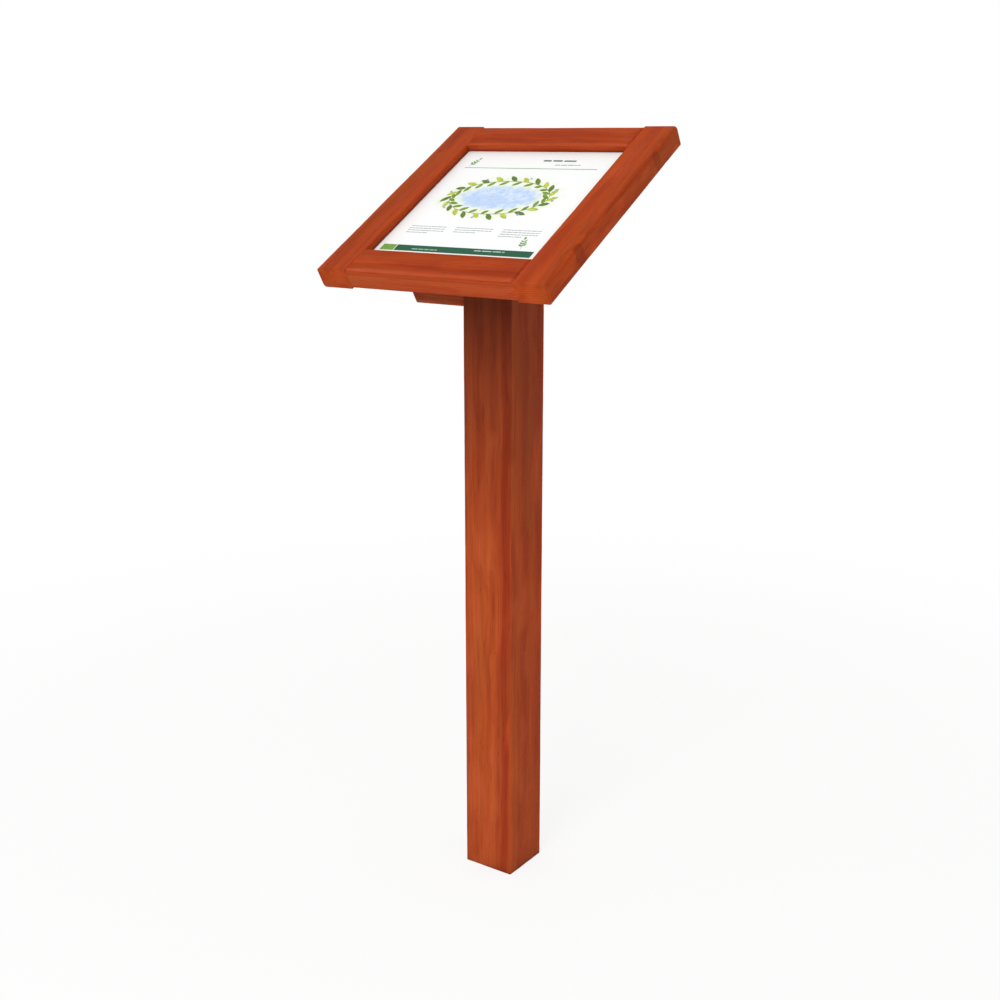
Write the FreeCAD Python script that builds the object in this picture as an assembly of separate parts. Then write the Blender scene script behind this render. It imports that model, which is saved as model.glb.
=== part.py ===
"""Park interpretation sign: a tilted timber frame with a printed panel on a single square post.

Millimetres. The origin is the centre of the post's foot, +Z is up, and a reader stands on the -Y side.
The frame has its own axes: u to the reader's right, v up the slope from the frame's front edge,
and n out of the reading face. They start at the middle of the front edge of the reading face.
"""
import FreeCAD
import Part
import math
import os

Vector = FreeCAD.Vector

# Post
post_side = 100.0
post_arris_radius = 2.0

# Frame: its place and outside
reading_tilt = 30.0
front_edge_height = 1110.0
frame_forward = 2.5
frame_width = 455.0
frame_length = 455.0
stile_face = 62.0
rail_face = 62.0
outer_round = 6.0
inner_round = 3.0

# Frame: the rebate behind the lip
lip_thickness = 13.0
rebate_width = 12.0

# Corner dowels
dowel_radius = 5.0
dowel_length = 60.0
dowel_spacing = 22.0
dowel_end_gap = 1.0

# Panel, from the reading face down
gasket_thickness = 1.5
gasket_width = 8.0
gasket_outer_gap = 0.5
sheet_thickness = 0.5
panel_thickness = 3.0
board_thickness = 9.0
panel_edge_gap = 1.5
bead_width = 11.0
bead_thickness = 11.0
bead_side_gap = 0.2

# Cross battens
batten_width = 45.0
batten_thickness = 20.0
batten_bearing = 30.0
batten_end_rake = 7.0
batten_spacing = 58.0
batten_arris = 2.0

# Side cleat, left of the post
cleat_thickness = 45.0
cleat_setback = 5.0
cleat_length = 143.0
cleat_foot_length = 103.0
cleat_end_rake = 28.0
cleat_front_height = 102.5
cleat_arris = 2.0

# Ground socket in the post's foot
socket_bore_radius = 10.25
socket_wall = 3.75
socket_length = 150.0
socket_head_room = 2.0

# Wood screws
head_to_shank = 2.0
head_depth_to_shank = 1.2
tip_to_shank = 2.0
batten_screw_radius = 2.25
batten_screw_cover = 8.5
batten_screw_inset = 11.5
batten_screw_spacing = 24.0
head_screw_radius = 3.0
head_screw_length = 90.0
head_screw_spacing = 56.0
head_screw_sink = 5.0
cleat_top_screw_length = 45.0
cleat_top_screw_inset = 35.0
cleat_top_screw_spacing = 55.0
bead_screw_radius = 1.5
bead_screw_length = 24.0
bead_screw_count = 3
bead_screw_end_gap = 40.0

# Coach screws that hold the cleat
coach_radius = 4.0
coach_head_across_flats = 13.0
coach_head_height = 5.5
coach_grip = 85.0
coach_bite = 55.0
coach_spacing = 40.0
coach_above_foot = 22.0
coach_pocket_radius = 11.0
washer_radius = 9.5
washer_thickness = 1.6

# Clearances
fit_gap = 0.05
through_gap = 0.3
cut_margin = 1.0

# Values that follow from the driving dimensions
tilt = math.radians(reading_tilt)
stile_inner = frame_width / 2 - stile_face
opening_bottom = rail_face
opening_top = frame_length - rail_face
rebate_side = stile_inner + rebate_width
rebate_bottom = opening_bottom - rebate_width
rebate_top = opening_top + rebate_width
sheet_face = lip_thickness + gasket_thickness
panel_face = sheet_face + sheet_thickness
board_face = panel_face + panel_thickness
bead_face = board_face + board_thickness
frame_thickness = bead_face + bead_thickness
post_head_depth = frame_thickness + batten_thickness
batten_half_length = rebate_side + batten_bearing
batten_screw_length = batten_thickness + frame_thickness - batten_screw_cover
batten_screw = (batten_screw_radius, batten_screw_length)
head_screw = (head_screw_radius, head_screw_length)
cleat_top_screw = (head_screw_radius, cleat_top_screw_length)
bead_screw = (bead_screw_radius, bead_screw_length)
front_edge_y = -frame_forward - frame_length / 2 * math.cos(tilt) - frame_thickness * math.sin(tilt)
frame_place = FreeCAD.Placement(
    Vector(0, front_edge_y, front_edge_height), FreeCAD.Rotation(Vector(1, 0, 0), reading_tilt)
)


def placed(shape):
    """A shape drawn on the frame's axes, moved to its place on the post."""
    result = shape.copy()
    result.Placement = frame_place.multiply(result.Placement)
    return result


def slope_at(y, depth):
    """How far up the slope and how high a plane under the reading face is, above a place on the ground."""
    v = (y - front_edge_y - depth * math.sin(tilt)) / math.cos(tilt)
    z = front_edge_height + v * math.sin(tilt) - depth * math.cos(tilt)
    return v, z


def block(low, high):
    """A box between two corners."""
    return Part.makeBox(high[0] - low[0], high[1] - low[1], high[2] - low[2], Vector(*low))


def edges_along(shape, direction, test):
    """Straight edges of a shape that run along a direction and whose middle passes a test."""
    found = []
    for edge in shape.Edges:
        if not isinstance(edge.Curve, Part.Line):
            continue
        run = edge.Vertexes[-1].Point - edge.Vertexes[0].Point
        if run.Length > 1 and abs(run.normalize().dot(direction)) > 0.999 and test(edge.CenterOfMass):
            found.append(edge)
    return found


def rod(start, direction, radius, length):
    """A plain cylinder."""
    return Part.makeCylinder(radius, length, Vector(*start), Vector(*direction))


def turned(points, start, direction):
    """A solid turned from a half profile of (radius, depth) points, its axis from start along direction."""
    wire = Part.makePolygon([Vector(r, 0, -d) for r, d in points + points[:1]])
    solid = Part.Face(wire).revolve(Vector(), Vector(0, 0, 1), 360)
    solid.Placement = FreeCAD.Placement(
        Vector(*start), FreeCAD.Rotation(Vector(0, 0, -1), Vector(*direction))
    )
    return solid


def wood_screw(sizes, start, direction):
    """A countersunk wood screw with a square socket, its head flush with start."""
    shank, length = sizes
    head, head_depth = shank * head_to_shank, shank * head_depth_to_shank
    profile = [(0, 0), (head, 0), (shank, head_depth), (shank, length - shank * tip_to_shank), (0, length)]
    screw = turned(profile, start, direction)
    half = shank / 2
    socket = block((-half, -half, -head_depth / 2), (half, half, cut_margin))
    socket.Placement = screw.Placement
    return screw.cut(socket)


def wood_screw_hole(sizes, start, direction, bite_from, sink=0.0):
    """The hole for a wood screw: free in the piece it passes, tight in the piece it bites from a depth on."""
    shank, length = sizes
    head, head_depth = shank * head_to_shank + through_gap, shank * head_depth_to_shank
    wide = shank + through_gap
    tight = shank + fit_gap
    profile = [
        (0, -sink), (head, -sink), (head, 0), (wide, head_depth), (wide, bite_from), (tight, bite_from),
        (tight, length + fit_gap), (0, length + fit_gap),
    ]
    return turned(profile, start, direction)


def hexagon(across_flats, height, start, direction):
    """A hexagonal head that stands on start and rises along direction."""
    corner = across_flats / math.sqrt(3)
    points = [
        Vector(corner * math.cos(math.radians(60 * k)), corner * math.sin(math.radians(60 * k)), 0)
        for k in range(7)
    ]
    head = Part.Face(Part.makePolygon(points)).extrude(Vector(0, 0, height))
    head.Placement = FreeCAD.Placement(Vector(*start), FreeCAD.Rotation(Vector(0, 0, 1), Vector(*direction)))
    return head


def rebate():
    """The space that is cut from behind around the opening, on the frame's axes."""
    return block(
        (-rebate_side, rebate_bottom, -frame_thickness - cut_margin),
        (rebate_side, rebate_top, -lip_thickness),
    )


def corner_dowel_starts():
    """The inner end of each dowel and the way it points, on the frame's axes."""
    places = []
    for side in (-1, 1):
        for rail_middle in (rebate_bottom / 2, (frame_length + rebate_top) / 2):
            for step in (-0.5, 0.5):
                start = (
                    side * (stile_inner - dowel_length / 2),
                    rail_middle + step * dowel_spacing,
                    -frame_thickness / 2,
                )
                places.append((start, (side, 0, 0)))
    return places


def corner_dowels():
    """Two round dowels across the joint in each corner."""
    return Part.makeCompound(
        [placed(rod(start, way, dowel_radius, dowel_length)) for start, way in corner_dowel_starts()]
    )


def dowel_holes():
    """Holes for the dowels, a little longer than they are at both ends."""
    holes = []
    for start, way in corner_dowel_starts():
        begin = (start[0] - way[0] * dowel_end_gap, start[1], start[2])
        holes.append(rod(begin, way, dowel_radius + fit_gap, dowel_length + 2 * dowel_end_gap))
    return Part.makeCompound(holes)


def batten_centres():
    """How far up the slope the middle of each batten is: the lower one, then the upper one."""
    head_middle = slope_at(0, post_head_depth)[0]
    return head_middle - batten_spacing / 2, head_middle + batten_spacing / 2


def batten_screw_places():
    """Where screws go up through the battens into the stiles, on the frame's axes."""
    u = rebate_side + batten_screw_inset
    return [
        (side * u, centre + step * batten_screw_spacing, -post_head_depth)
        for centre in batten_centres()
        for side in (-1, 1)
        for step in (-0.5, 0.5)
    ]


def batten_screw_holes():
    """Holes for the screws that join the battens to the stiles."""
    return Part.makeCompound(
        [wood_screw_hole(batten_screw, start, (0, 0, 1), batten_thickness) for start in batten_screw_places()]
    )


def plumb_screw_start(x, centre):
    """Where a plumb screw's head sits, below the top of a batten with that centre."""
    depth = frame_thickness + batten_thickness / 2
    y = front_edge_y + centre * math.cos(tilt) + depth * math.sin(tilt)
    return x, y, slope_at(y, frame_thickness)[1] - head_screw_sink


def head_screw_places():
    """Where plumb screws go down through the battens into the post."""
    return [
        plumb_screw_start(side * head_screw_spacing / 2, centre)
        for centre in batten_centres()
        for side in (-1, 1)
    ]


def cleat_top_screw_places():
    """Where plumb screws go down through the lower batten into the cleat."""
    first = -post_side / 2 - cleat_top_screw_inset
    lower_centre = batten_centres()[0]
    return [plumb_screw_start(first - step * cleat_top_screw_spacing, lower_centre) for step in (0, 1)]


def plumb_screw_holes():
    """Plumb holes for the screws through the battens, open above so that each head goes in below the face."""
    through = slope_at(0, frame_thickness)[1] - slope_at(0, post_head_depth)[1]
    bite_from = through - head_screw_sink
    into_post = [
        wood_screw_hole(head_screw, start, (0, 0, -1), bite_from, 2 * head_screw_sink)
        for start in head_screw_places()
    ]
    into_cleat = [
        wood_screw_hole(cleat_top_screw, start, (0, 0, -1), bite_from, 2 * head_screw_sink)
        for start in cleat_top_screw_places()
    ]
    return Part.makeCompound(into_post + into_cleat)


def bead_screw_places():
    """Where screws go from the opening through the beads into the frame, on the frame's axes."""
    n = -(bead_face + frame_thickness) / 2
    inner_u = rebate_side - bead_width
    inner_bottom = rebate_bottom + bead_width
    inner_top = rebate_top - bead_width
    places = []
    for k in range(bead_screw_count):
        share = k / (bead_screw_count - 1)
        v = inner_bottom + bead_screw_end_gap + share * (inner_top - inner_bottom - 2 * bead_screw_end_gap)
        u = -inner_u + bead_screw_end_gap + share * 2 * (inner_u - bead_screw_end_gap)
        places.append(((-inner_u, v, n), (-1, 0, 0)))
        places.append(((inner_u, v, n), (1, 0, 0)))
        places.append(((u, inner_bottom, n), (0, -1, 0)))
        places.append(((u, inner_top, n), (0, 1, 0)))
    return places


def bead_screw_holes():
    """Holes for the screws that hold the beads."""
    return Part.makeCompound(
        [
            wood_screw_hole(bead_screw, start, way, bead_width, cut_margin)
            for start, way in bead_screw_places()
        ]
    )


def rounded_member(body, along, across, outer, inner):
    """A frame member with rounded long arrises: its outer and inner edges are places along across."""
    for radius, edge_place, depth in (
        (outer_round, outer, 0), (inner_round, inner, 0), (outer_round, outer, -frame_thickness)
    ):
        corner = edges_along(
            body,
            along,
            lambda p: abs(p.dot(across) - edge_place) < cut_margin and abs(p.z - depth) < cut_margin,
        )
        body = body.makeFillet(radius, corner)
    return body


def stile(side):
    """A full-length side member: side is -1 on the left and 1 on the right."""
    outer = side * frame_width / 2
    inner = side * stile_inner
    body = block(
        (min(outer, inner), 0, -frame_thickness), (max(outer, inner), frame_length, 0)
    )
    body = rounded_member(body, Vector(0, 1, 0), Vector(1, 0, 0), outer, inner)
    return placed(
        body.cut(rebate()).cut(dowel_holes()).cut(batten_screw_holes()).cut(bead_screw_holes())
    )


def rail(outer_v, inner_v):
    """A cross member that butts between the stiles, from its outer edge to the opening's edge."""
    body = block(
        (-stile_inner, min(outer_v, inner_v), -frame_thickness),
        (stile_inner, max(outer_v, inner_v), 0),
    )
    body = rounded_member(body, Vector(1, 0, 0), Vector(0, 1, 0), outer_v, inner_v)
    return placed(body.cut(rebate()).cut(dowel_holes()).cut(bead_screw_holes()))


def panel_layer(face_depth, thickness):
    """A flat sheet that fills the rebate with a gap all round."""
    side = rebate_side - panel_edge_gap
    return placed(
        block(
            (-side, rebate_bottom + panel_edge_gap, -face_depth - thickness),
            (side, rebate_top - panel_edge_gap, -face_depth),
        )
    )


def panel_gasket():
    """Four strips of foam tape between the lip and the printed face."""
    side = rebate_side - panel_edge_gap - gasket_outer_gap
    bottom = rebate_bottom + panel_edge_gap + gasket_outer_gap
    top = rebate_top - panel_edge_gap - gasket_outer_gap
    back, front = -sheet_face, -lip_thickness
    strips = [
        block((-side, bottom, back), (-side + gasket_width, top, front)),
        block((side - gasket_width, bottom, back), (side, top, front)),
        block((-side + gasket_width, bottom, back), (side - gasket_width, bottom + gasket_width, front)),
        block((-side + gasket_width, top - gasket_width, back), (side - gasket_width, top, front)),
    ]
    return Part.makeCompound([placed(strip) for strip in strips])


def side_bead(side):
    """A retaining bead along a stile, over the whole length of the rebate."""
    outer = side * (rebate_side - bead_side_gap)
    inner = side * (rebate_side - bead_width)
    body = block(
        (min(outer, inner), rebate_bottom + bead_side_gap, -frame_thickness),
        (max(outer, inner), rebate_top - bead_side_gap, -bead_face),
    )
    return placed(body.cut(bead_screw_holes()))


def end_bead(outer_v, inner_v):
    """A retaining bead along a rail, fitted between the two side beads."""
    side = rebate_side - bead_width - bead_side_gap
    body = block(
        (-side, min(outer_v, inner_v), -frame_thickness), (side, max(outer_v, inner_v), -bead_face)
    )
    return placed(body.cut(bead_screw_holes()))


def bead_screws():
    """The screws that hold the four beads."""
    return Part.makeCompound(
        [placed(wood_screw(bead_screw, start, way)) for start, way in bead_screw_places()]
    )


def batten(centre):
    """A cross batten under the frame, its ends raked in towards its underside."""
    top, bottom = -frame_thickness, -post_head_depth
    half_top = batten_half_length
    half_bottom = half_top - batten_end_rake
    low_v = centre - batten_width / 2
    outline = [(-half_top, top), (half_top, top), (half_bottom, bottom), (-half_bottom, bottom)]
    points = [Vector(u, low_v, n) for u, n in outline + outline[:1]]
    body = Part.Face(Part.makePolygon(points)).extrude(Vector(0, batten_width, 0))
    lower_edges = edges_along(body, Vector(1, 0, 0), lambda p: p.z < bottom + cut_margin)
    body = body.makeChamfer(batten_arris, lower_edges)
    return placed(body.cut(batten_screw_holes())).cut(plumb_screw_holes())


def batten_screws():
    """The screws from the battens up into the stiles."""
    return Part.makeCompound(
        [placed(wood_screw(batten_screw, start, (0, 0, 1))) for start in batten_screw_places()]
    )


def head_screws():
    """The plumb screws from the battens down into the post."""
    return Part.makeCompound([wood_screw(head_screw, start, (0, 0, -1)) for start in head_screw_places()])


def cleat_top_screws():
    """The plumb screws from the lower batten down into the cleat."""
    return Part.makeCompound(
        [wood_screw(cleat_top_screw, start, (0, 0, -1)) for start in cleat_top_screw_places()]
    )


def above_head():
    """The space over the plane on which the battens lie."""
    reach = frame_width + frame_length
    return placed(block((-reach, -reach, -post_head_depth), (reach, reach, reach)))


def cleat_front_y():
    """Where the cleat's front face lies, a little behind the post's."""
    return -post_side / 2 + cleat_setback


def cleat_foot_z():
    """How high the cleat's foot is, below the plane on which the battens lie."""
    return slope_at(cleat_front_y(), post_head_depth)[1] - cleat_front_height


def coach_screw_heights():
    """How high the two coach screws lie."""
    low = cleat_foot_z() + coach_above_foot
    return low, low + coach_spacing


def coach_screw_y():
    """The middle of the cleat, front to back."""
    return cleat_front_y() + cleat_thickness / 2


def coach_seat_x():
    """Where the washers bear, inside the cleat."""
    return -post_side / 2 - coach_grip


def coach_holes():
    """Pockets from the cleat's outer end, then holes through it and on into the post."""
    holes = []
    for z in coach_screw_heights():
        seat = (coach_seat_x(), coach_screw_y(), z)
        holes.append(rod(seat, (-1, 0, 0), coach_pocket_radius, frame_width))
        holes.append(rod(seat, (1, 0, 0), coach_radius + through_gap, coach_grip))
        holes.append(rod(seat, (1, 0, 0), coach_radius + fit_gap, coach_grip + coach_bite + fit_gap))
    return Part.makeCompound(holes)


def cleat_screws():
    """Two hexagon-headed coach screws from the cleat into the post."""
    screws = []
    for z in coach_screw_heights():
        under_head = (coach_seat_x() - washer_thickness, coach_screw_y(), z)
        length = washer_thickness + coach_grip + coach_bite
        tip_from = length - coach_radius * tip_to_shank
        profile = [(0, 0), (coach_radius, 0), (coach_radius, tip_from), (0, length)]
        shank = turned(profile, under_head, (1, 0, 0))
        head = hexagon(coach_head_across_flats, coach_head_height, under_head, (-1, 0, 0))
        screws.append(shank.fuse(head).removeSplitter())
    return Part.makeCompound(screws)


def cleat_washers():
    """A flat washer under each coach screw's head."""
    washers = []
    for z in coach_screw_heights():
        seat = (coach_seat_x(), coach_screw_y(), z)
        disc = rod(seat, (-1, 0, 0), washer_radius, washer_thickness)
        hole = rod(seat, (-1, 0, 0), coach_radius + through_gap, washer_thickness)
        washers.append(disc.cut(hole))
    return Part.makeCompound(washers)


def side_cleat():
    """The plumb block on the post's left face that props the lower batten, its lower outer corner raked off."""
    inner = -post_side / 2
    front = cleat_front_y()
    foot = cleat_foot_z()
    peak = slope_at(front + cleat_thickness, post_head_depth)[1] + cut_margin
    end = inner - cleat_length
    foot_end = inner - cleat_foot_length
    rake_top = foot + (cleat_length - cleat_foot_length) / math.tan(math.radians(cleat_end_rake))
    outline = [(inner, foot), (inner, peak), (end, peak), (end, rake_top), (foot_end, foot)]
    points = [Vector(x, front, z) for x, z in outline + outline[:1]]
    body = Part.Face(Part.makePolygon(points)).extrude(Vector(0, cleat_thickness, 0))
    foot_edges = edges_along(body, Vector(1, 0, 0), lambda p: p.z < foot + cut_margin)
    body = body.makeChamfer(cleat_arris, foot_edges)
    return body.cut(above_head()).cut(coach_holes()).cut(plumb_screw_holes())


def post():
    """The square post: eased arrises, a head cut to the slope and a socket hole in the foot."""
    half = post_side / 2
    peak = slope_at(half, post_head_depth)[1] + cut_margin
    body = block((-half, -half, 0), (half, half, peak))
    body = body.makeFillet(post_arris_radius, edges_along(body, Vector(0, 0, 1), lambda p: True))
    socket_hole = rod(
        (0, 0, 0), (0, 0, 1), socket_bore_radius + socket_wall + fit_gap, socket_length + socket_head_room
    )
    return body.cut(above_head()).cut(plumb_screw_holes()).cut(coach_holes()).cut(socket_hole)


def ground_socket():
    """A steel sleeve bonded into the foot, flush with it, for a ground anchor rod."""
    tube = rod((0, 0, 0), (0, 0, 1), socket_bore_radius + socket_wall, socket_length)
    return tube.cut(rod((0, 0, 0), (0, 0, 1), socket_bore_radius, socket_length))


def main():
    lower_centre, upper_centre = batten_centres()
    nodes = {
        "post": post(),
        "ground_socket": ground_socket(),
        "side_cleat": side_cleat(),
        "cleat_screws": cleat_screws(),
        "cleat_washers": cleat_washers(),
        "cleat_top_screws": cleat_top_screws(),
        "lower_batten": batten(lower_centre),
        "upper_batten": batten(upper_centre),
        "head_screws": head_screws(),
        "batten_screws": batten_screws(),
        "left_stile": stile(-1),
        "right_stile": stile(1),
        "bottom_rail": rail(0, opening_bottom),
        "top_rail": rail(frame_length, opening_top),
        "corner_dowels": corner_dowels(),
        "panel_gasket": panel_gasket(),
        "printed_sheet": panel_layer(sheet_face, sheet_thickness),
        "print_panel": panel_layer(panel_face, panel_thickness),
        "backing_board": panel_layer(board_face, board_thickness),
        "left_bead": side_bead(-1),
        "right_bead": side_bead(1),
        "bottom_bead": end_bead(rebate_bottom + bead_side_gap, rebate_bottom + bead_width),
        "top_bead": end_bead(rebate_top - bead_side_gap, rebate_top - bead_width),
        "bead_screws": bead_screws(),
    }
    os.makedirs("parts", exist_ok=True)
    for name, shape in nodes.items():
        shape.exportStep("parts/" + name + ".step")
        print(name, len(shape.Solids), round(shape.Volume), shape.isValid())


main()
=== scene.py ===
"""The looks of a timber park sign: stained members, a printed panel and its small steel parts, in metres."""
import math
import random
from collections import namedtuple

import bmesh
import bpy
from mathutils import Matrix, Vector, noise


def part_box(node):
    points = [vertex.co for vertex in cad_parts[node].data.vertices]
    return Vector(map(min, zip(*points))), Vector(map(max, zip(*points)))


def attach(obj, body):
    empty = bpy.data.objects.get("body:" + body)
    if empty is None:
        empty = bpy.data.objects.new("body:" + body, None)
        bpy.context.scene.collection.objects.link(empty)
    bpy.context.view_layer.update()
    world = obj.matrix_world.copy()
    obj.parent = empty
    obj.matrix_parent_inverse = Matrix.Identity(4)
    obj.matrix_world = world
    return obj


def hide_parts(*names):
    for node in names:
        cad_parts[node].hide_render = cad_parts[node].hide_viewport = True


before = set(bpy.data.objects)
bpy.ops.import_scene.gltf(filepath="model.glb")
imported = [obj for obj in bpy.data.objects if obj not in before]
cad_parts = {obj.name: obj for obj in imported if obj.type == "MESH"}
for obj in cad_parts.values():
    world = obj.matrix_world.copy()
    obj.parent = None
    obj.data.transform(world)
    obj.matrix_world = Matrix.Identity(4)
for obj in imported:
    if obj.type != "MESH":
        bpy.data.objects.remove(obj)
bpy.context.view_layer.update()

# The axes by number, of the row frame and of the sloping frame alike
X, Y, Z = range(3)

# The reading slope, as the post's head is cut
READING_TILT = math.radians(30)

# The camera stands where the photograph was taken from
CAMERA_PLACE = Vector((1.34808, -1.94487, 1.32289))
CAMERA_TURN = math.radians(34.889)
CAMERA_DIP = math.radians(14.776)
CAMERA_LENS = 49.808
CAMERA_SENSOR = 36.0

# Stage and light. The floor's glow is the share of plain white in what the eye sees of it
FLOOR_REACH = 40.0
FLOOR_BOUNCE = 0.92
FLOOR_GLOW = 0.82
FLOOR_FADE = (0.7, 2.5)
WHITE = (1.0, 1.0, 1.0, 1.0)
SKY_COLOUR = (1.0, 0.99, 0.98, 1.0)
SKY_LEVEL = 0.65
KEY_PLACE = Vector((0.8, -4.55, 3.7))
KEY_AIM = Vector((0.0, 0.0, 0.8))
KEY_SIZE = 3.0
KEY_POWER = 140.0

# Between which values of a cloudy noise one tone turns into another, sharply and softly
TWO_TONES, SOFT_TONES = (0.35, 0.65), (0.30, 0.70)

# A mark that noise leaves: where it starts, where it is full, its most there, its factor on the colour
Mark = namedtuple("Mark", "start full most factor")


class Graph:
    """Adds nodes to a new material or world. An input is a plain value or another node's socket."""

    def __init__(self, name, kind="materials"):
        self.owner = getattr(bpy.data, kind).new(name)
        self.owner.use_nodes = True
        self.tree = self.owner.node_tree
        self.tree.nodes.clear()

    def add(self, kind, inputs, **settings):
        """A node with its settings, its inputs filled by name or number."""
        node = self.tree.nodes.new("ShaderNode" + kind)
        for key, value in settings.items():
            setattr(node, key, value)
        for key, value in inputs.items():
            if isinstance(value, bpy.types.NodeSocket):
                self.tree.links.new(value, node.inputs[key])
            else:
                node.inputs[key].default_value = value
        return node

    def math(self, operation, a, b=0.0):
        return self.add("Math", {0: a, 1: b}, operation=operation).outputs[0]

    def plus(self, a, b):
        return self.math("ADD", a, b)

    def minus(self, a, b):
        return self.math("SUBTRACT", a, b)

    def times(self, a, b):
        return self.math("MULTIPLY", a, b)

    def length(self, a, b):
        return self.math("SQRT", self.plus(self.times(a, a), self.times(b, b)))

    def swing(self, value, reach):
        """Noise made into a shift to either side."""
        return self.times(self.minus(value, 0.5), reach)

    def step(self, value, start, full):
        """0 at the start and 1 where it is full, smooth between. The start may be the higher of the two."""
        inputs = {"Value": value, "From Min": start, "From Max": full}
        return self.add("MapRange", inputs, interpolation_type="SMOOTHSTEP").outputs[0]

    def share(self, value, start, full, most):
        """A smooth step that ends at less than the whole."""
        return self.times(self.step(value, start, full), most)

    def split(self, place):
        return self.add("SeparateXYZ", {0: place}).outputs

    def join(self, x, y, z):
        return self.add("CombineXYZ", {0: x, 1: y, 2: z}).outputs[0]

    def here(self):
        """The place on the object, which is its place in the row frame."""
        return self.add("TexCoord", {}).outputs["Object"]

    def attribute(self, name):
        """A value noted on the mesh's vertices."""
        return self.add("Attribute", {}, attribute_name=name).outputs["Fac"]

    def seen(self, path):
        """Whether a ray is the eye's own, straight or by way of gloss or glass."""
        either = self.math("MAXIMUM", path.outputs["Is Camera Ray"], path.outputs["Is Glossy Ray"])
        return self.math("MAXIMUM", either, path.outputs["Is Transmission Ray"])

    def noise(self, place, scale=1.0, detail=2.0, rough=0.5, twist=0.0):
        inputs = {"Vector": place, "Scale": scale, "Detail": detail, "Roughness": rough, "Distortion": twist}
        return self.add("TexNoise", inputs).outputs["Fac"]

    def stretched(self, parts, factors, shift=0.0):
        """A place whose three parts are scaled each by its own factor."""
        scaled = [self.times(part, factor) for part, factor in zip(parts, factors)]
        scaled[0] = self.plus(scaled[0], shift)
        return self.join(*scaled)

    def mix(self, share, a, b, blend="MIX"):
        """One colour over another. Colours are sockets or linear red, green and blue."""
        node = self.add("Mix", {0: share}, data_type="RGBA", blend_type=blend)
        for socket, value in ((node.inputs[6], a), (node.inputs[7], b)):
            if isinstance(value, bpy.types.NodeSocket):
                self.tree.links.new(value, socket)
            else:
                socket.default_value = (*value, 1.0)
        return node.outputs[2]

    def tinted(self, share, colour, factor):
        """A colour, times a factor for a share of it."""
        return self.mix(share, colour, factor, "MULTIPLY")

    def marked(self, value, colour, mark):
        return self.tinted(self.share(value, mark.start, mark.full, mark.most), colour, mark.factor)

    def finish(self, colour, roughness, height=None, rise=None, **plain):
        """A Principled surface. With a height its bump rises by so many metres."""
        inputs = {"Base Color": colour, "Roughness": roughness}
        if height is not None:
            bump = self.add("Bump", {"Height": height, "Distance": rise})
            inputs["Normal"] = bump.outputs[0]
        inputs.update({key.replace("_", " "): value for key, value in plain.items()})
        shader = self.add("BsdfPrincipled", inputs)
        self.add("OutputMaterial", {"Surface": shader.outputs[0]})
        return self.owner


# How far from the opening's edge or the sheet a place may lie and still bound the recess over the print
RECESS_SLACK = 0.0002


class Slope:
    """The frame's own axes in the row frame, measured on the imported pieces: right, up the slope, out."""

    def __init__(self):
        low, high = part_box("left_stile")
        c, s = math.cos(READING_TILT), math.sin(READING_TILT)
        deep, tall = high.y - low.y, high.z - low.z
        thickness = (tall * c - deep * s) / (c * c - s * s)
        origin = Vector((0, low.y, low.z + thickness * c))
        self.matrix = Matrix.Translation(origin) @ Matrix.Rotation(READING_TILT, 4, "X")
        self.inverse = self.matrix.inverted()
        bottom_rail, top_rail = self.box("bottom_rail"), self.box("top_rail")
        self.opening_low = Vector((bottom_rail[0].x, bottom_rail[1].y))
        self.opening_high = Vector((bottom_rail[1].x, top_rail[0].y))
        self.sheet_face = self.box("printed_sheet")[1].z

    def box(self, node):
        """(lowest corner, highest corner) of a CAD node on the frame's own axes."""
        points = [self.inverse @ v.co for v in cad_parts[node].data.vertices]
        return tuple(Vector(pick(p[k] for p in points) for k in range(3)) for pick in (min, max))

    def over_print(self, place):
        """Whether a place on the frame's own axes bounds the recess over the printed sheet."""
        low, high, slack = self.opening_low, self.opening_high, RECESS_SLACK
        within = low.x - slack < place.x < high.x + slack and low.y - slack < place.y < high.y + slack
        return within and place.z > self.sheet_face - slack


SLOPE = Slope()


def slope_place(graph, socket):
    """A place in the row frame, on the frame's own axes."""
    node = graph.add("Mapping", {"Vector": socket})
    node.inputs["Location"].default_value = SLOPE.inverse.translation
    node.inputs["Rotation"].default_value = (-READING_TILT, 0, 0)
    return node.outputs[0]


def slope_direction(graph, socket):
    """A direction in the row frame, on the frame's own axes."""
    node = graph.add("Mapping", {"Vector": socket}, vector_type="NORMAL")
    node.inputs["Rotation"].default_value = (-READING_TILT, 0, 0)
    return node.outputs[0]


# Stain colours, linear: deep, middle, bright and brown
FRAME_STAIN = ((0.350, 0.037, 0.004), (0.425, 0.053, 0.0065), (0.495, 0.070, 0.012), (0.345, 0.060, 0.006))
POST_STAIN = ((0.345, 0.042, 0.008), (0.435, 0.066, 0.012), (0.510, 0.090, 0.022), (0.345, 0.068, 0.012))
CLEAT_STAIN = ((0.290, 0.043, 0.012), (0.360, 0.066, 0.018), (0.430, 0.094, 0.031), (0.290, 0.070, 0.018))
UNDER_STAIN = ((0.230, 0.032, 0.006), (0.300, 0.045, 0.009), (0.360, 0.062, 0.015), (0.240, 0.046, 0.009))
BEECH = ((0.43, 0.25, 0.12), (0.53, 0.33, 0.17), (0.62, 0.42, 0.23), (0.45, 0.29, 0.14))

# Where the middle stain lies over the deep one, (start, full), and the bright and brown, with their most
MIDDLE_STAIN = (0.32, 0.62)
BRIGHT_STAIN = (0.50, 0.74, 0.60)
BROWN_STAIN = (0.52, 0.74, 0.50)

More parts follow.
